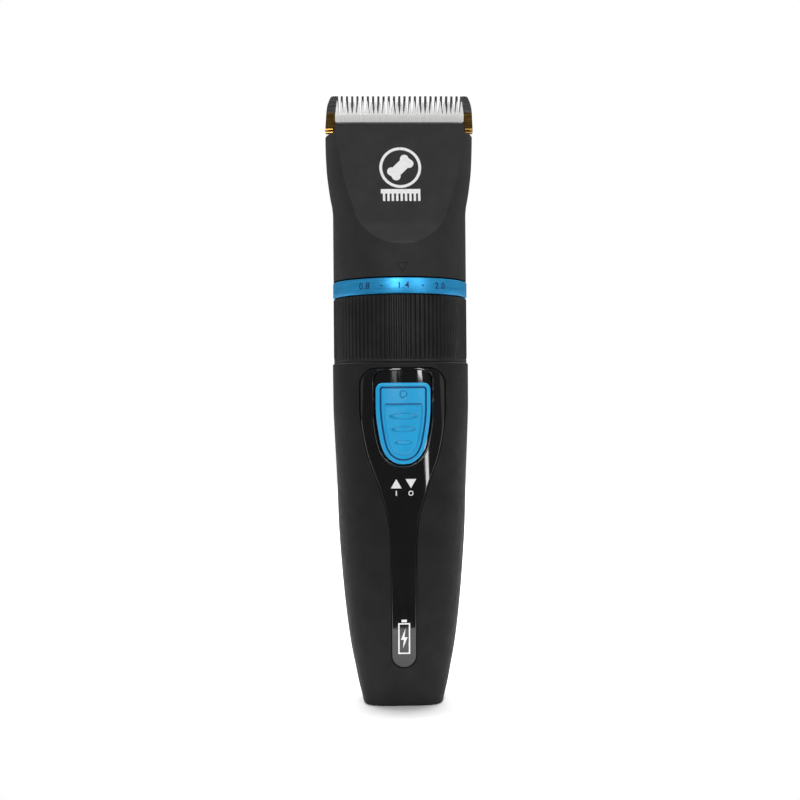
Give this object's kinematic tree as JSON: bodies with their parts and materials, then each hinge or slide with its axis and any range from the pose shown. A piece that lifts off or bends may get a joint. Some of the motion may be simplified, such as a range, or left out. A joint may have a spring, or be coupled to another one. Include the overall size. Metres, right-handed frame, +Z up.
{
  "type": "electric pet clipper",
  "caption": "Cordless pet clipper with a tapered handle, slide switch, ribbed blade length ring and a tip-off blade unit with a white moving blade.",
  "frame": {"origin": "centre of the flat base under the handle's axis", "axes": "+Z up the handle to the blade, -Y out of the switch side, +X to the right as the switch is faced"},
  "size_m": [0.043, 0.0409, 0.1756],
  "materials": {
    "shell_plastic": "charcoal, fine moulded texture",
    "head_plastic": "charcoal, fine moulded texture",
    "ring_plastic": "black, moulded ribs",
    "gloss_black": "polished black",
    "switch_blue": "satin blue",
    "band_blue": "metallic blue, brushed round",
    "ceramic_white": "ground white ceramic",
    "titanium_gold": "titanium coated steel with bare ground teeth",
    "steel": "bright steel",
    "inner_plastic": "dark grey moulding",
    "white_plastic": "natural acetal",
    "board_green": "green solder mask",
    "battery_wrap": "shrink wrap",
    "copper": "copper winding or sintered bronze",
    "magnet": "dark sintered or moulded",
    "led_clear": "clear red lens",
    "wire_red": "red insulation"
  },
  "bodies": {
    "handle": {"front_shell": "shell_plastic", "rear_shell": "shell_plastic", "housing_screw_1": "steel", "housing_screw_2": "steel", "housing_screw_3": "steel", "housing_screw_4": "steel", "switch_panel": "gloss_black", "slide_switch_body": "steel", "circuit_board": "board_green", "control_chip": "magnet", "charge_light": "led_clear", "charge_socket": "inner_plastic", "socket_pin": "steel", "battery_cell": "battery_wrap", "battery_tab_top": "steel", "battery_tab_bottom": "steel", "battery_wire_red": "wire_red", "battery_wire_black": "magnet", "motor_can": "steel", "motor_end_cap": "white_plastic", "motor_magnet_left": "magnet", "motor_magnet_right": "magnet", "motor_bracket": "steel", "shaft_bush": "copper", "head_housing": "head_plastic", "detent_spring": "steel"},
    "length_ring": {"ring_grip": "ring_plastic", "scale_band": "band_blue", "cam_sleeve": "white_plastic"},
    "cam_follower": {"cam_follower": "white_plastic"},
    "blade_unit": {"fixed_blade": "titanium_gold", "blade_base": "inner_plastic", "blade_screw_left": "steel", "blade_screw_right": "steel", "blade_spring": "steel"},
    "cutter_carrier": {"cutter_carrier": "inner_plastic"},
    "cutter": {"moving_blade": "ceramic_white", "drive_fork": "white_plastic"},
    "motor_rotor": {"motor_armature": "copper", "motor_shaft": "steel", "eccentric_cam": "white_plastic"},
    "power_switch": {"switch_button": "switch_blue", "slide_switch_lever": "white_plastic"}
  },
  "joints": [
    {"name": "length_ring_turn", "type": "hinge", "parent": "handle", "child": "length_ring", "pos_m": [0, 0, 0.108], "axis": [0, 0, 1], "range_deg": [-34.4, 34.4]},
    {"name": "follower_lift", "type": "slide", "parent": "handle", "child": "cam_follower", "axis": [0, 0, 1], "range_m": [-0.00062, 0.00062]},
    {"name": "blade_unit_tip", "type": "hinge", "parent": "handle", "child": "blade_unit", "pos_m": [0, 0.0057, 0.1448], "axis": [-1, 0, 0], "range_deg": [0, 45]},
    {"name": "carrier_slide", "type": "slide", "parent": "blade_unit", "child": "cutter_carrier", "axis": [0, -0.4226, 0.9063], "range_m": [-0.00062, 0.00062]},
    {"name": "cutter_slide", "type": "slide", "parent": "cutter_carrier", "child": "cutter", "axis": [1, 0, 0], "range_m": [-0.001, 0.001]},
    {"name": "motor_spin", "type": "hinge", "parent": "handle", "child": "motor_rotor", "pos_m": [0, 0, 0.1], "axis": [0, 0, 1], "continuous": true},
    {"name": "power_switch_slide", "type": "slide", "parent": "handle", "child": "power_switch", "axis": [0, -0.061, 0.9981], "range_m": [0, 0.003]}
  ],
  "couplings": [
    {"joint": "follower_lift", "follows": "length_ring_turn", "m_per_rad": 0.001},
    {"joint": "carrier_slide", "follows": "length_ring_turn", "m_per_rad": 0.001}
  ]
}
